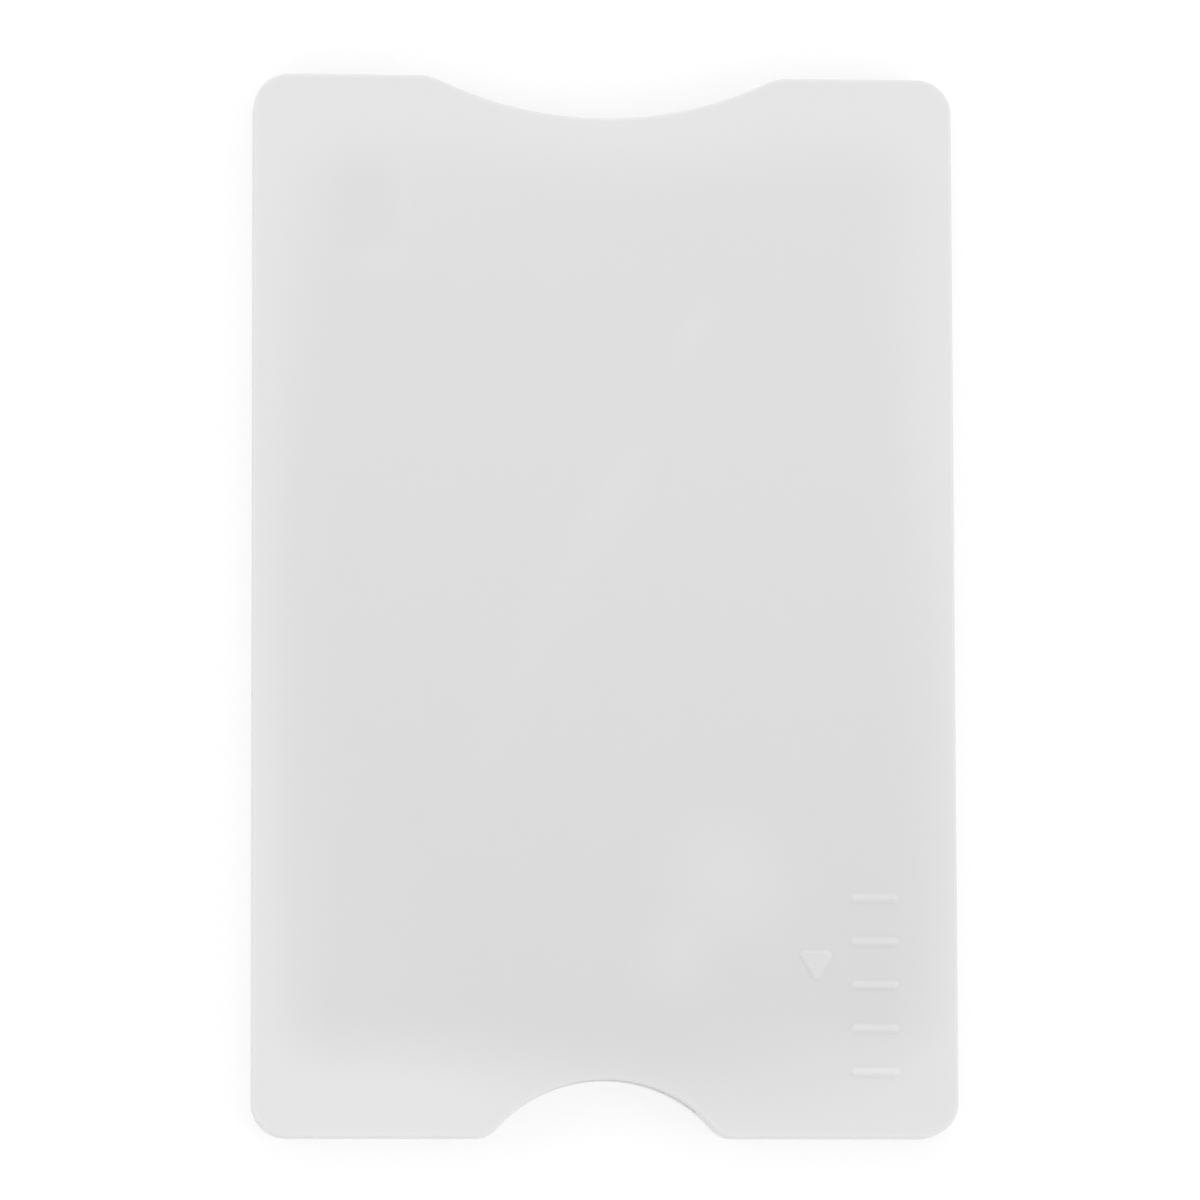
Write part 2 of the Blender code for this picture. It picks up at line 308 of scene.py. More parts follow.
def shell_block(name, outer_z, rim_z):
    """A closed block with the sleeve's outline, from its outer face to its rim."""
    low, high = min(outer_z, rim_z), max(outer_z, rim_z)
    half_w, half_l = WIDTH / 2, LENGTH / 2
    obj = upright_edge(name, 0, PUSH_DEPTH - half_l, low, high)
    pen = Pen(0, PUSH_DEPTH - half_l, 0)
    pen.turn(PUSH_R, -PUSH_TURN)
    pen.turn(PUSH_LIP_R, PUSH_TURN)
    pen.ahead(half_w - CORNER_R - PUSH_HALF)
    pen.turn(CORNER_R, pi / 2)
    pen.ahead(LENGTH - 2 * CORNER_R)
    pen.turn(CORNER_R, pi / 2)
    pen.ahead(half_w - CORNER_R - THUMB_HALF)
    pen.turn(THUMB_LIP_R, THUMB_TURN)
    pen.turn(THUMB_R, -THUMB_TURN)
    end_edit()
    apply_modifier(obj, "MIRROR", merge_threshold=TINY)
    start_edit(obj)
    for z in (low, high):
        pick(obj, "EDGE", at_height(z))
        bpy.ops.mesh.edge_face_add()
    pick(obj, "EDGE", at_height(outer_z))
    bpy.ops.mesh.bevel(
        offset=EDGE_R, segments=EDGE_SEGMENTS, profile=ROUND, affect="EDGES", clamp_overlap=False
    )
    pick(obj, "EDGE", at_height(rim_z))
    bpy.ops.mesh.bevel(
        offset=SEAM_CHAMFER, segments=SEAM_SEGMENTS, profile=ROUND, affect="EDGES", clamp_overlap=False
    )
    end_edit()
    faces_out(obj)
    return obj


rear = shell_block("rear_moulding", 0.0, THICKNESS / 2 - SEAM_GAP / 2)
front = shell_block("front_moulding", THICKNESS, THICKNESS / 2 + SEAM_GAP / 2)
for shell in (rear, front):
    print(shell.name, len(shell.data.polygons), "faces, closed:", is_closed(shell))

# %% [markdown]
# ## The space for the card
# Inside, the card slides in a slot between two side rails and stops against the end wall. A deeper well
# keeps its faces off the shield, so only its edges ride on narrow ledges, and a shallow pocket takes the
# shield panel. In the mould all three are steps of one core. Here they are three blocks with rounded
# corners that a Boolean takes out of both shells at once, because they are the same on both sides.

# %% Cut the slot, the well and the pocket
MOUTH_OVERRUN = 2.0 * MM
POCKET_DEPTH = 0.2 * MM
POCKET_MARGIN = 0.2 * MM
foil_low, foil_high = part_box("rear_shield")
FOIL_MIDDLE_Y = (foil_low.y + foil_high.y) / 2
FOIL_R = 2.0 * MM
BLOCK_SEGMENTS = 12


def rounded_block(name, low, high, radius):
    """A block between two corners, with its upright edges rounded."""
    low, high = Vector(low), Vector(high)
    bpy.ops.mesh.primitive_cube_add(size=1, location=(low + high) / 2)
    bpy.context.object.scale = high - low
    obj = place_down(name)
    start_edit(obj)
    pick(obj, "EDGE", upright)
    bpy.ops.mesh.bevel(
        offset=radius, segments=BLOCK_SEGMENTS, profile=ROUND, affect="EDGES", clamp_overlap=False
    )
    end_edit()
    return obj


def boolean(target, tool, operation):
    """Cuts target with tool or joins them, and keeps the tool."""
    apply_modifier(target, "BOOLEAN", operation=operation, solver="EXACT", object=tool)


def remove(*objects):
    """Takes finished tools away."""
    for obj in objects:
        bpy.data.objects.remove(obj)


middle_z = THICKNESS / 2
slot_half = SLOT_W / 2
closed_y = END_WALL - LENGTH / 2
well_half_h = middle_z - WALL
pocket_half_h = well_half_h + POCKET_DEPTH
space = [
    rounded_block(
        "slot",
        (-slot_half, closed_y, middle_z - SLOT_H / 2),
        (slot_half, LENGTH / 2 + MOUTH_OVERRUN, middle_z + SLOT_H / 2),
        SLOT_CORNER_R,
    ),
    rounded_block(
        "well",
        (LEDGE_W - slot_half, closed_y + END_LEDGE_W, middle_z - well_half_h),
        (slot_half - LEDGE_W, LENGTH / 2 + 2 * MOUTH_OVERRUN, middle_z + well_half_h),
        SLOT_CORNER_R,
    ),
    rounded_block(
        "pocket",
        (foil_low.x - POCKET_MARGIN, foil_low.y - POCKET_MARGIN, middle_z - pocket_half_h),
        (foil_high.x + POCKET_MARGIN, foil_high.y + POCKET_MARGIN, middle_z + pocket_half_h),
        FOIL_R,
    ),
]
for shell in (rear, front):
    for tool in space:
        boolean(shell, tool, "DIFFERENCE")
    print(shell.name, len(shell.data.polygons), "faces, closed:", is_closed(shell))
remove(*space)

# %% [markdown]
# ## The lead-in at the open end
# The inner edge of each wall is chamfered along the whole open end, thumb notch included, so that a card
# finds its way in. The pen carries a small right-angled triangle along that edge, and the wedge that it
# leaves is cut out of the shell.

# %% Chamfer the inner edges of the mouth
MOUTH_CHAMFER = 0.3 * MM
WEDGE_PAST = 0.1 * MM
WEDGE_END_GAP = 0.02 * MM


def mouth_wedge(name, wall_z, towards_outside):
    """A wedge along the mouth. towards_outside is -1 for the rear wall and 1 for the front one."""
    side = MOUTH_CHAMFER + 2 * WEDGE_PAST
    start_x = slot_half - LEDGE_W - WEDGE_END_GAP
    edge_y = LENGTH / 2
    tip_y = edge_y - MOUTH_CHAMFER - WEDGE_PAST
    inner_z = wall_z - towards_outside * WEDGE_PAST
    middle = (start_x, tip_y + side / 2, inner_z + towards_outside * side / 2)
    bpy.ops.mesh.primitive_plane_add(size=side, location=middle, rotation=(0, pi / 2, 0))
    obj = place_down(name)
    start_edit(obj)
    pick(obj, "VERT", lambda v: v.co.y < middle[1] and (v.co.z - middle[2]) * towards_outside > 0)
    bpy.ops.mesh.delete(type="VERT")
    bpy.ops.mesh.select_all(action="SELECT")
    bpy.ops.mesh.edge_face_add()
    pen = Pen(start_x, edge_y, pi)
    pen.ahead(start_x - THUMB_HALF)
    pen.turn(THUMB_LIP_R, THUMB_TURN)
    pen.turn(THUMB_R, -2 * THUMB_TURN)
    pen.turn(THUMB_LIP_R, THUMB_TURN)
    pen.ahead(start_x - THUMB_HALF)
    end_edit()
    faces_out(obj)
    return obj


for shell, wall_z, towards_outside in ((rear, WALL, -1), (front, THICKNESS - WALL, 1)):
    wedge = mouth_wedge("mouth_wedge", wall_z, towards_outside)
    boolean(shell, wedge, "DIFFERENCE")
    remove(wedge)
    print(shell.name, len(shell.data.polygons), "faces, closed:", is_closed(shell))

# %% [markdown]
# ## The bumps that hold the card
# A shallow bump on each side rail rubs on the edge of the card, so that it doesn't fall out by itself. It
# is a slice of a cylinder: a whole cylinder is bisected, and what would lie outside the rail is dropped.

# %% Card bumps
BUMP_R = 8.0 * MM
BUMP_PROUD = 0.25 * MM
BUMP_Y = 34.0 * MM
BUMP_SUNK = 0.2 * MM
BUMP_BELOW_RIM = 0.1 * MM
BUMP_SIDES = 160


def bump(name, side, low, high):
    """The bump on the right rail for side 1, on the left one for side -1."""
    axis_x = side * (slot_half + BUMP_R - BUMP_PROUD)
    bpy.ops.mesh.primitive_cylinder_add(
        vertices=BUMP_SIDES, radius=BUMP_R, depth=high - low, location=(axis_x, BUMP_Y, (low + high) / 2)
    )
    obj = place_down(name)
    start_edit(obj)
    bpy.ops.mesh.select_all(action="SELECT")
    bpy.ops.mesh.bisect(
        plane_co=(side * (slot_half + BUMP_SUNK), 0, 0),
        plane_no=(side, 0, 0),
        use_fill=True,
        clear_outer=True,
    )
    end_edit()
    faces_out(obj)
    return obj


ledge_low = middle_z - SLOT_H / 2 - BUMP_SUNK
rim_low = middle_z - BUMP_BELOW_RIM
for shell, low, high in (
    (rear, ledge_low, rim_low),
    (front, THICKNESS - rim_low, THICKNESS - ledge_low),
):
    for side in (1, -1):
        made = bump("bump", side, low, high)
        boolean(shell, made, "UNION")
        remove(made)
    print(shell.name, len(shell.data.polygons), "faces, closed:", is_closed(shell))

# %% [markdown]
# ## Tongue and groove
# A low tongue on the rear shell's rim fits a groove in the front one. It lines the halves up and is what
# the ultrasonic welding melts. The pen carries a small rectangle down the rail and round the corner, once
# for the tongue and once, a little wider, for the groove. The left one is a mirrored copy.

# %% Tongue and groove
TONGUE_W = 0.7 * MM
TONGUE_TOP_Z = rear_high.z
TONGUE_CHAMFER = 0.15 * MM
TONGUE_BEND_R = 1.9 * MM
TONGUE_TOP_Y = 43.0 * MM
TONGUE_END_X = 12.2 * MM
TONGUE_ROOT = 0.2 * MM
GROOVE_SIDE_GAP = 0.15 * MM
GROOVE_END_GAP = 0.1 * MM
TONGUE_SEGMENTS = 2


def rail_ribbon(name, width, low, high, longer):
    """A rib of rectangular section along the right rail and the closed end, and its mirror image."""
    rail_x = (slot_half + WIDTH / 2) / 2
    end_y = (closed_y - LENGTH / 2) / 2
    top_y = TONGUE_TOP_Y + longer
    bpy.ops.mesh.primitive_plane_add(
        size=1, location=(rail_x, top_y, (low + high) / 2), rotation=(pi / 2, 0, 0)
    )
    bpy.context.object.scale = (width, high - low, 1)
    obj = place_down(name)
    start_edit(obj)
    bpy.ops.mesh.select_all(action="SELECT")
    pen = Pen(rail_x, top_y, -pi / 2)
    pen.ahead(top_y - end_y - TONGUE_BEND_R)
    pen.turn(TONGUE_BEND_R, -pi / 2)
    pen.ahead(rail_x - TONGUE_BEND_R - TONGUE_END_X + longer)
    end_edit()
    apply_modifier(obj, "MIRROR", use_mirror_merge=False)
    faces_out(obj)
    return obj


tongue = rail_ribbon("tongue", TONGUE_W, middle_z - TONGUE_ROOT, TONGUE_TOP_Z, 0.0)
start_edit(tongue)
top_edge = at_height(TONGUE_TOP_Z)
pick(tongue, "EDGE", lambda e: top_edge(e) and any(abs(f.normal.z) < 0.5 for f in e.link_faces))
bpy.ops.mesh.bevel(
    offset=TONGUE_CHAMFER, segments=TONGUE_SEGMENTS, profile=ROUND, affect="EDGES", clamp_overlap=False
)
end_edit()
boolean(rear, tongue, "UNION")

groove = rail_ribbon(
    "groove",
    TONGUE_W + 2 * GROOVE_SIDE_GAP,
    middle_z - TONGUE_ROOT,
    TONGUE_TOP_Z + GROOVE_END_GAP,
    GROOVE_SIDE_GAP,
)
boolean(front, groove, "DIFFERENCE")
remove(tongue, groove)
for shell in (rear, front):
    print(shell.name, len(shell.data.polygons), "faces, closed:", is_closed(shell))

# %% [markdown]
# ## The raised grip bars and the arrow
# Low bars at one corner of the front give the finger some grip, and a small arrow shows which way the card
# goes in. They stand a fifth of a millimetre proud, with soft sides that catch the light. The pen draws
# each outline, a bar as a shape with two round corners and the arrow as one with three, and the top is
# raised in a few inset steps. The true arcs matter here: an inset folds over where a corner is too tight.

# %% Grip bars and arrow
BAR_LENGTH = 4.3 * MM
BAR_W = 0.9 * MM
BAR_COUNT = 5
BAR_PITCH = 3.7 * MM
BARS_X = 22.9 * MM
BARS_Y = -32.6 * MM
ARROW_SIDE = 3.6 * MM
ARROW_CORNER_R = 0.45 * MM
ARROW_X = 17.9 * MM
ARROW_Y = -30.6 * MM
RELIEF_WIDER = 0.1 * MM
RELIEF_SUNK = 0.015 * MM
RELIEF_BASE = 0.1 * MM
RELIEF_STEPS_MM = ((0.12, 0.030), (0.07, 0.045), (0.18, 0.105), (0.05, 0.025), (0.05, 0.010))


def raised_shape(name, x, y, heading, corners, straight, corner_r):
    """A closed shape with equal straight sides and round corners, its top raised by inset steps."""
    high = THICKNESS - RELIEF_SUNK
    low = high - RELIEF_BASE
    obj = upright_edge(name, x, y, low, high)
    pen = Pen(x, y, heading)
    for _ in range(corners):
        pen.ahead(straight)
        pen.turn(corner_r, 2 * pi / corners)
    bpy.ops.mesh.select_all(action="SELECT")
    bpy.ops.mesh.remove_doubles(threshold=TINY)
    for z in (low, high):
        pick(obj, "EDGE", at_height(z))
        bpy.ops.mesh.edge_face_add()
    end_edit()
    faces_out(obj)
    start_edit(obj)
    pick(obj, "FACE", lambda face: face.normal.z > 0.9)
    for width, height in RELIEF_STEPS_MM:
        bpy.ops.mesh.inset(thickness=width * MM, depth=height * MM)
    end_edit()
    return obj


first_y = BARS_Y - (BAR_COUNT - 1) / 2 * BAR_PITCH
bar_r = BAR_W / 2 + RELIEF_WIDER
bar_straight = BAR_LENGTH - BAR_W
bar = raised_shape("grip_bar", BARS_X - bar_straight / 2, first_y - bar_r, 0, 2, bar_straight, bar_r)

arrow_straight = ARROW_SIDE - 2 * ARROW_CORNER_R * tan(pi / 3)
arrow_top_y = ARROW_Y + ARROW_SIDE / (2 * sqrt(3)) + RELIEF_WIDER
arrow = raised_shape(
    "arrow", ARROW_X + arrow_straight / 2, arrow_top_y, pi, 3, arrow_straight, ARROW_CORNER_R + RELIEF_WIDER
)

raised = [bar, arrow]
for step in range(1, BAR_COUNT):
    select_only(bar)
    bpy.ops.object.duplicate(linked=False)
    bpy.ops.transform.translate(value=(0, step * BAR_PITCH, 0))
    raised.append(place_down(f"grip_bar_{step}"))
for shape in raised:
    print(shape.name, len(shape.data.polygons), "faces, closed:", is_closed(shape))
select_only(*raised)
bpy.ops.object.join()
relief = bpy.context.object
boolean(front, relief, "UNION")
remove(relief)
print(front.name, len(front.data.polygons), "faces, closed:", is_closed(front))

# %% [markdown]
# ## Smooth shading that keeps the flats flat
# The rounded edges are shaded smooth and true corners stay sharp. The big flat faces must keep one single
# normal, or the light bends across them, so the corner normals are weighted by face area.

# %% Shade the shells
SHARP = radians(32)


def finish_shading(obj):
    """Smooth shading with sharp corners kept and flats held flat."""
    select_only(obj)
    bpy.ops.object.shade_smooth_by_angle(angle=SHARP, keep_sharp_edges=False)
    apply_modifier(obj, "WEIGHTED_NORMAL", mode="FACE_AREA", weight=100, keep_sharp=True)


for shell in (rear, front):
    finish_shading(shell)
    print(shell.name, "triangles", sum(len(p.vertices) - 2 for p in shell.data.polygons))

# %% [markdown]
# ## Colours and nodes
# Colours are written as they look on a screen, as hex values, and one function turns them into the linear
# values that the renderer works with. One more function adds a node with its settings and its links.

# %% Helpers for materials


def linear(hex_colour):
    """Linear RGBA of an sRGB hex colour such as "#E0E0E0"."""
    values = []
    for start in (1, 3, 5):
        level = int(hex_colour[start : start + 2], 16) / 255
        values.append(level / 12.92 if level <= 0.04045 else ((level + 0.055) / 1.055) ** 2.4)
    return (*values, 1.0)


def add_node(tree, kind, inputs=None, **settings):
    """Adds a node. An input takes a plain value or another node's output."""
    made = tree.nodes.new(kind)
    for name, value in settings.items():
        setattr(made, name, value)
    for socket, value in (inputs or {}).items():
        if isinstance(value, bpy.types.NodeSocket):
            tree.links.new(value, made.inputs[socket])
        else:
            made.inputs[socket].default_value = value
    return made


def new_material(name):
    """An empty node material, its tree and its output."""
    made = bpy.data.materials.new(name)
    made.use_nodes = True
    made.node_tree.nodes.clear()
    return made, made.node_tree, add_node(made.node_tree, "ShaderNodeOutputMaterial")


# %% [markdown]
# ## Milky polystyrene: painted shade of the panel behind the wall
# Filled to be milky, a one millimetre wall still lets a little light through, so the foil behind it shows
# as a darker panel with soft edges. The border, with solid rail behind it, looks lighter. This shade is
# painted into the base colour, not rendered through the wall. A few nodes work it out from real sizes: how
# far a point lies outside a rounded rectangle says how much of the panel's painted shade is laid on there,
# from 0 at the rails to 1 over the panel.

# %% How much painted shade the panel gets
PANEL_CENTRE = (0.4 * MM, 0.4 * MM)
PANEL_HALF = (26.8 * MM, 38.8 * MM)
PANEL_R = 4.5 * MM
PANEL_SOFT = 4.0 * MM


def painted_panel_shade(tree, place):
    """Painted shade of the foil panel: 1 over the panel, 0 over the rails, with a soft edge between."""
    centred = add_node(
        tree, "ShaderNodeVectorMath", {0: place, 1: (*PANEL_CENTRE, 0)}, operation="SUBTRACT"
    )
    folded = add_node(tree, "ShaderNodeVectorMath", {0: centred.outputs[0]}, operation="ABSOLUTE")
    inner_corner = (PANEL_HALF[0] - PANEL_R, PANEL_HALF[1] - PANEL_R, 1.0)
    past = add_node(
        tree, "ShaderNodeVectorMath", {0: folded.outputs[0], 1: inner_corner}, operation="SUBTRACT"
    )
    outside = add_node(
        tree, "ShaderNodeVectorMath", {0: past.outputs[0], 1: (0, 0, 0)}, operation="MAXIMUM"
    )
    reach = add_node(tree, "ShaderNodeVectorMath", {0: outside.outputs[0]}, operation="LENGTH")
    seen = add_node(
        tree,
        "ShaderNodeMapRange",
        {
            "Value": reach.outputs["Value"],
            "From Min": PANEL_R + PANEL_SOFT,
            "From Max": PANEL_R - PANEL_SOFT,
        },
        interpolation_type="SMOOTHSTEP",
    )
    return seen.outputs[0]


panel_size = [round(2 * half / MM, 1) for half in PANEL_HALF]
print("panel seen through the wall", panel_size, "mm")

# %% [markdown]
# ## Milky polystyrene: painted shade where the foil lies close or loose
# A foil panel that is stuck on by hand is never quite flat. Where it is creased or bubbled it lifts off the
# wall and looks lighter, and where it is pressed home it looks darker. Both are painted, as less or more of
# the panel's painted shade. Each such place is one soft ellipse, with its middle, its half length and half
# width in millimetres, its turn in degrees, and how much more of the panel's painted shade is laid on
# there.
# Nobody can see the rear wall here, so its marks are simply of the same kind.

# %% Marks of the foil
FRONT_MARKS = {
    "upper crease": (7.5, 23.0, 6.0, 2.0, 60, -0.30),
    "middle crease": (1.5, 10.0, 9.0, 3.0, 65, -0.30),
    "long faint crease": (-3.0, 2.5, 32.0, 3.0, 65, -0.10),
    "short crease": (-17.0, 35.0, 5.0, 1.0, 90, -0.20),
    "large bubble": (10.5, -23.5, 8.0, 9.0, 45, -0.35),
    "small bubble": (6.0, -30.0, 5.0, 6.0, 0, -0.25),
    "bubble under the pressed patch": (-19.5, 29.5, 4.0, 2.5, 0, -0.35),
    "pressed patch": (-20.5, 34.5, 4.0, 8.0, 0, 0.45),
    "pressed closed end": (8.5, -40.5, 28.0, 6.0, -5, 0.50),
    "pressed right side": (27.5, -17.0, 34.0, 4.0, 90, 0.25),
    "pressed left side": (-26.5, -6.0, 42.0, 3.0, 90, 0.30),
    "loose open end": (1.5, 40.0, 18.0, 7.5, 0, -0.40),
    "loose upper left": (-22.0, 36.0, 31.0, 12.0, -15, -0.20),
    "loose upper right": (26.5, 25.0, 33.0, 6.0, 90, -0.25),
    "loose lower left": (-22.0, -37.0, 59.0, 14.0, 110, -0.15),
}
REAR_MARKS = {
    "crease": (-12.0, 18.0, 9.0, 2.5, 40, -0.25),
    "second crease": (-6.0, -25.0, 7.0, 2.0, 75, -0.20),
    "bubble": (9.0, -12.0, 8.0, 6.0, 10, -0.20),
    "pressed patch": (18.0, 33.0, 6.0, 8.0, 20, 0.25),
    "loose open end": (0.0, 41.0, 19.0, 8.5, 0, -0.35),
    "loose left side": (-25.0, 10.0, 30.0, 5.0, 90, -0.20),
}


def with_marks(tree, place, seen, marks):
    """Adds the marks to the panel's painted shade."""
    for x, y, half_length, half_width, turn, more in marks.values():
        local = add_node(
            tree,
            "ShaderNodeMapping",
            {
                "Vector": place,
                "Location": (x * MM, y * MM, 0),
                "Rotation": (0, 0, radians(turn)),
                "Scale": (half_length * MM, half_width * MM, 1),
            },
            vector_type="TEXTURE",
        )
        far = add_node(tree, "ShaderNodeVectorMath", {0: local.outputs[0]}, operation="LENGTH")
        soft = add_node(
            tree,
            "ShaderNodeMapRange",
            {"Value": far.outputs["Value"], "From Min": 1.0, "From Max": 0.0, "To Max": more},
            interpolation_type="SMOOTHSTEP",
        )
        seen = add_node(tree, "ShaderNodeMath", {0: seen, 1: soft.outputs[0]}, operation="ADD").outputs[0]
    return seen


print(len(FRONT_MARKS), "marks in front,", len(REAR_MARKS), "behind")

# %% [markdown]
# ## Milky polystyrene: colour, gloss and grain
# Natural polystyrene is a clean, neutral white once it is filled. The panel's painted shade is a little
# deeper towards the closed end, where the foil lies closer, and a little lighter under the raised marks,
# where the wall is thicker; both are painted into the colour. The mould is finely textured, by spark
# erosion, so the surface is satin and has no mirror shine.
# Real grains are too fine to show, so they are drawn about a third of a millimetre wide.

# %% The finished polystyrene
RAIL_TONE = "#E4E4E4"
# Painted shade: the panel's tone at the open end and, darker, at the closed end
PANEL_TONE_OPEN = "#E0E0E0"
PANEL_TONE_CLOSED = "#D9D9D9"
# Share of the panel's painted shade taken off on top of the raised marks
RAISED_HIDES = 0.3
GRAIN = 0.35 * MM
GRAIN_DEPTH = 0.004 * MM
POLYSTYRENE_IOR = 1.59
LIGHT_BLEED = 0.4 * MM
MIX_A, MIX_B, MIX_OUT = 6, 7, 2


# Polystyrene from a textured mould: soft, wide highlights, and light that bleeds a little round its edges.
def milky_polystyrene(name, marks):
    """Milky polystyrene with the painted shade of a foil panel and these marks."""
    made, tree, output = new_material(name)
    place = add_node(tree, "ShaderNodeTexCoord").outputs["Object"]
    axes = add_node(tree, "ShaderNodeSeparateXYZ", {0: place})
    # Painted shade: the panel's tone runs darker towards the closed end
    along = add_node(
        tree,
        "ShaderNodeMapRange",
        {"Value": axes.outputs["Y"], "From Min": -LENGTH / 2, "From Max": LENGTH / 2},
    )
    panel_tone = add_node(
        tree,
        "ShaderNodeMix",
        {0: along.outputs[0], MIX_A: linear(PANEL_TONE_CLOSED), MIX_B: linear(PANEL_TONE_OPEN)},
        data_type="RGBA",
    )
    # The foil panel's painted shade, with its marks
    seen = with_marks(tree, place, painted_panel_shade(tree, place), marks)
    # Painted: less of the panel's painted shade under the raised marks, where the wall is thicker
    thicker = add_node(
        tree,
        "ShaderNodeMapRange",
        {
            "Value": axes.outputs["Z"],
            "From Min": THICKNESS,
            "From Max": THICKNESS + RELIEF_H,
            "To Max": RAISED_HIDES,
        },
    )
    seen = add_node(tree, "ShaderNodeMath", {0: seen, 1: thicker.outputs[0]}, operation="SUBTRACT")
    # The base colour, with the panel's painted shade laid over the rail tone
    tone = add_node(
        tree,
        "ShaderNodeMix",
        {0: seen.outputs[0], MIX_A: linear(RAIL_TONE), MIX_B: panel_tone.outputs[MIX_OUT]},
        data_type="RGBA",
        clamp_factor=False,
    )
    texture = add_node(tree, "ShaderNodeTexNoise", {"Vector": place, "Scale": 1 / GRAIN, "Detail": 3.0})
    gloss = add_node(
        tree, "ShaderNodeMapRange", {"Value": texture.outputs[0], "To Min": 0.40, "To Max": 0.48}
    )
    grain = add_node(
        tree, "ShaderNodeBump", {"Height": texture.outputs[0], "Strength": 0.25, "Distance": GRAIN_DEPTH}
    )
    plastic = add_node(
        tree,
        "ShaderNodeBsdfPrincipled",
        {
            "Base Color": tone.outputs[MIX_OUT],
            "Roughness": gloss.outputs[0],
            "Normal": grain.outputs[0],
            "IOR": POLYSTYRENE_IOR,
            "Subsurface Weight": 0.5,
            "Subsurface Radius": (1.0, 1.0, 1.0),
            "Subsurface Scale": LIGHT_BLEED,
        },
    )
    tree.links.new(plastic.outputs[0], output.inputs[0])
    return made


for shell, side, marks in ((front, "front", FRONT_MARKS), (rear, "rear", REAR_MARKS)):
    shell.data.materials.clear()
    shell.data.materials.append(milky_polystyrene(f"milky polystyrene, textured mould, {side}", marks))
    print(shell.name, "is", shell.data.materials[0].name)

# %% [markdown]
# ## Aluminium foil
# The shield is a die-cut panel of rolled foil. The rolls leave fine lines along its length. Real ones are
# too fine to show, so they are drawn about a tenth of a millimetre wide. The model's own solids have the
# right shape for all the flat layers, so they stay and only get real finishes.

# %% Rolled foil
ROLL_LINE_W = 0.12 * MM
ROLL_LINE_L = 6.0 * MM
ROLL_LINE_DEPTH = 0.003 * MM


# Rolled aluminium: bright and silvery, with a gleam that is drawn out across the rolling lines.
def rolled_foil(name):
    """Rolled foil with fine lines along the rolling direction."""
    made, tree, output = new_material(name)
    place = add_node(tree, "ShaderNodeTexCoord").outputs["Object"]
    stretched = add_node(
        tree, "ShaderNodeMapping", {"Vector": place, "Scale": (1 / ROLL_LINE_W, 1 / ROLL_LINE_L, 1.0)}
    )
    lines = add_node(
        tree, "ShaderNodeTexNoise", {"Vector": stretched.outputs[0], "Scale": 1.0, "Detail": 3.0}
    )
    rough = add_node(
        tree, "ShaderNodeMapRange", {"Value": lines.outputs[0], "To Min": 0.22, "To Max": 0.38}
    )
    relief = add_node(
        tree, "ShaderNodeBump", {"Height": lines.outputs[0], "Strength": 0.3, "Distance": ROLL_LINE_DEPTH}
    )
    metal = add_node(
        tree,
        "ShaderNodeBsdfPrincipled",
        {
            "Base Color": linear("#E8E9EB"),
            "Metallic": 1.0,
            "Roughness": rough.outputs[0],
            "Normal": relief.outputs[0],
        },
    )
    tree.links.new(metal.outputs[0], output.inputs[0])
    return made


foil = rolled_foil("aluminium foil, rolled")
print("made", foil.name)

# %% [markdown]
# ## Acrylic adhesive
# A transfer film of soft acrylic holds the foil in its pocket. It is laid on from a roll and traps air in
# bubbles of about a millimetre, which a cell pattern draws. It only shows at the rim of the panel.

# %% Adhesive
BUBBLE = 1.2 * MM
ACRYLIC_IOR = 1.47


# Acrylic transfer film: faintly amber and cloudy, dull, with paler rings where air is trapped.
def acrylic_adhesive(name):
    """A soft transfer adhesive with tiny trapped bubbles."""
    made, tree, output = new_material(name)
    place = add_node(tree, "ShaderNodeTexCoord").outputs["Object"]
    bubbles = add_node(
        tree, "ShaderNodeTexVoronoi", {"Vector": place, "Scale": 1 / BUBBLE}, feature="F1"
    )
    tone = add_node(
        tree,
        "ShaderNodeMix",
        {0: bubbles.outputs["Distance"], MIX_A: linear("#E2DECF"), MIX_B: linear("#EDEADF")},
        data_type="RGBA",
    )
    glue = add_node(
        tree,
        "ShaderNodeBsdfPrincipled",
        {"Base Color": tone.outputs[MIX_OUT], "Roughness": 0.55, "IOR": ACRYLIC_IOR},
    )
    tree.links.new(glue.outputs[0], output.inputs[0])
    return made


adhesive = acrylic_adhesive("acrylic adhesive, transfer film")
print("made", adhesive.name)

# %% [markdown]
# ## Polyester slip film
# A clear film covers the foil, so that the card slides and the foil isn't scratched. Real glass-like
# refraction would keep the lamps off the foil in the render, because lamp light isn't followed through it.
# A thin film barely bends light anyway, so it is drawn as a see-through sheet with a little haze.

# %% Slip film
STREAK_W = 0.8 * MM
STREAK_L = 12.0 * MM
POLYESTER_IOR = 1.57


# Polyester stretched in rolling: nearly clear, with a faint haze in long streaks and a dull gleam.
def polyester_film(name):
    """Clear film with hazy streaks along its length."""
    made, tree, output = new_material(name)
    place = add_node(tree, "ShaderNodeTexCoord").outputs["Object"]
    drawn_out = add_node(
        tree, "ShaderNodeMapping", {"Vector": place, "Scale": (1 / STREAK_W, 1 / STREAK_L, 1.0)}
    )
    streaks = add_node(
        tree, "ShaderNodeTexNoise", {"Vector": drawn_out.outputs[0], "Scale": 1.0, "Detail": 3.0}
    )
    haze = add_node(
        tree, "ShaderNodeMapRange", {"Value": streaks.outputs[0], "To Min": 0.25, "To Max": 0.45}
    )
    gleam = add_node(
        tree, "ShaderNodeMapRange", {"Value": streaks.outputs[0], "To Min": 0.16, "To Max": 0.28}
    )
    film = add_node(
        tree,
        "ShaderNodeBsdfPrincipled",
        {
            "Base Color": linear("#EEF1F3"),
            "Alpha": haze.outputs[0],
            "Roughness": gleam.outputs[0],
            "IOR": POLYESTER_IOR,
        },
    )
    tree.links.new(film.outputs[0], output.inputs[0])
    return made


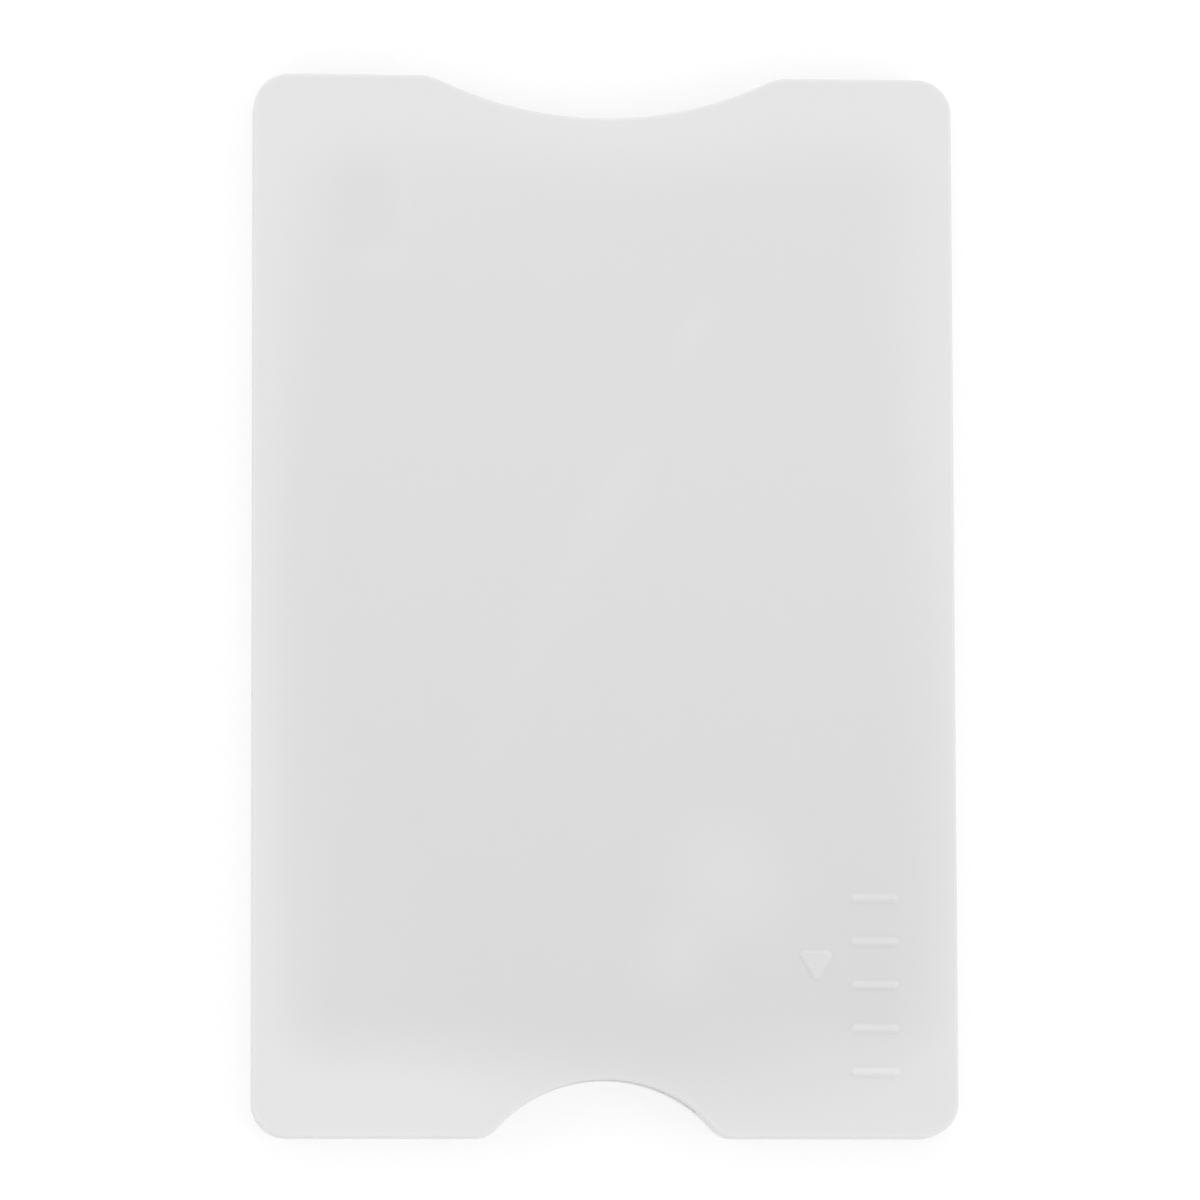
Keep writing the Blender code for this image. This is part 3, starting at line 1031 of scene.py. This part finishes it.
slip_film = polyester_film("polyester film, clear")
print("made", slip_film.name)

# %% [markdown]
# ## Finishes of the flat layers
# Each wall holds the same three layers, so both sides get the same three finishes.

# %% Give the layers their finishes
for layer, look in (("shield", foil), ("adhesive", adhesive), ("liner", slip_film)):
    for side in ("front", "rear"):
        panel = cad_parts[f"{side}_{layer}"]
        panel.data.materials.clear()
        panel.data.materials.append(look)
        print(panel.name, "is", look.name)

# %% [markdown]
# ## What each piece stands for
# The modelled shells take the places of the plain ones and ride on the one rigid body.

# %% Hang the pieces on the frame
for piece, node in ((front, "front_shell"), (rear, "rear_shell")):
    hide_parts(node)
    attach(piece, "root")
    print(piece.name, "stands for", node)

# %% [markdown]
# ## The floor
# The sleeve lies on a sheet of opal acrylic, as on a product photographer's table. Half of the light that
# meets it is scattered back and half goes through, so the underside of the sleeve is lit too, and shadows
# stay light. A small glow that only the camera and reflections see lifts the sheet to a clean white. From
# below the sheet is clear, so that the underside of the sleeve can be looked at.

# %% Floor
FLOOR_SIDE = 6.0
FLOOR_DROP = 0.02 * MM
FLOOR_GLOW = 0.16
FLOOR_WHITE = "#F4F4F4"
SHARE_LET_THROUGH = 0.5

bpy.ops.mesh.primitive_plane_add(size=FLOOR_SIDE, location=(0, 0, -FLOOR_DROP))
floor = place_down("floor")
made, tree, output = new_material("opal acrylic sheet, matt")
rays = add_node(tree, "ShaderNodeLightPath")
seen = add_node(
    tree,
    "ShaderNodeMath",
    {0: rays.outputs["Is Camera Ray"], 1: rays.outputs["Is Glossy Ray"]},
    operation="ADD",
)
seen = add_node(
    tree,
    "ShaderNodeMath",
    {0: seen.outputs[0], 1: rays.outputs["Is Transmission Ray"]},
    operation="ADD",
    use_clamp=True,
)
glow = add_node(tree, "ShaderNodeMath", {0: seen.outputs[0], 1: FLOOR_GLOW}, operation="MULTIPLY")
scattered = add_node(tree, "ShaderNodeBsdfDiffuse", {"Color": linear(FLOOR_WHITE)})
let_through = add_node(tree, "ShaderNodeBsdfTranslucent", {"Color": linear(FLOOR_WHITE)})
opal = add_node(
    tree,
    "ShaderNodeMixShader",
    {0: SHARE_LET_THROUGH, 1: scattered.outputs[0], 2: let_through.outputs[0]},
)
light = add_node(tree, "ShaderNodeEmission", {"Color": (1, 1, 1, 1), "Strength": glow.outputs[0]})
both = add_node(tree, "ShaderNodeAddShader", {0: opal.outputs[0], 1: light.outputs[0]})
clear = add_node(tree, "ShaderNodeBsdfTransparent")
below = add_node(tree, "ShaderNodeNewGeometry")
one_sided = add_node(
    tree,
    "ShaderNodeMixShader",
    {0: below.outputs["Backfacing"], 1: both.outputs[0], 2: clear.outputs[0]},
)
tree.links.new(one_sided.outputs[0], output.inputs[0])
floor.data.materials.append(made)
floor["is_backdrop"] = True
print("floor", FLOOR_SIDE, "m square,", made.name)

# %% [markdown]
# ## Lamps and world
# The photograph's light is soft and almost even: a bright tent all round, with slightly more light from the
# open end and from the right. So most of it comes from the world here, at a level at which a colour
# renders about as it is written, and three large soft boxes add the direction that draws the raised marks.

# %% Lamps and world
# Each soft box: its place and its side in metres, and its power in watts
SOFT_BOXES = {
    "right": ((1.85, -0.60, 1.28), 1.05, 4.2),
    "open_end": ((0.15, 1.95, 1.28), 1.05, 4.2),
    "left": ((-1.95, 0.30, 1.28), 1.05, 2.5),
}
WORLD_STRENGTH = 0.9156


def soft_lamp(name, place, size, power):
    """A square soft box aimed at the sleeve."""
    data = bpy.data.lights.new(name, "AREA")
    data.shape = "SQUARE"
    data.size = size
    data.energy = power
    lamp = bpy.data.objects.new(name, data)
    bpy.context.scene.collection.objects.link(lamp)
    lamp.location = place
    lamp.rotation_euler = (-place).to_track_quat("-Z", "Y").to_euler()
    return lamp


for name, (place, size, power) in SOFT_BOXES.items():
    lamp = soft_lamp(name, Vector(place), size, power)
    print("soft box", lamp.name, f"{lamp.location.length:.2f} m away")

world = bpy.data.worlds.new("studio")
bpy.context.scene.world = world
world.use_nodes = True
world.node_tree.nodes.clear()
tree = world.node_tree
rays = add_node(tree, "ShaderNodeLightPath")
strength = add_node(
    tree,
    "ShaderNodeMapRange",
    {"Value": rays.outputs["Is Camera Ray"], "To Min": WORLD_STRENGTH, "To Max": 1.0},
)
background = add_node(
    tree, "ShaderNodeBackground", {"Color": (1, 1, 1, 1), "Strength": strength.outputs[0]}
)
output = add_node(tree, "ShaderNodeOutputWorld", {0: background.outputs[0]})

bpy.context.scene.view_settings.view_transform = "Standard"

# %% [markdown]
# ## Sizes at the end
# The dressed sleeve must be no larger than the model, so its box is printed.

# %% Print the dressed box
low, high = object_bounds()
print("dressed box", [round(c, 5) for c in (*low, *high)])
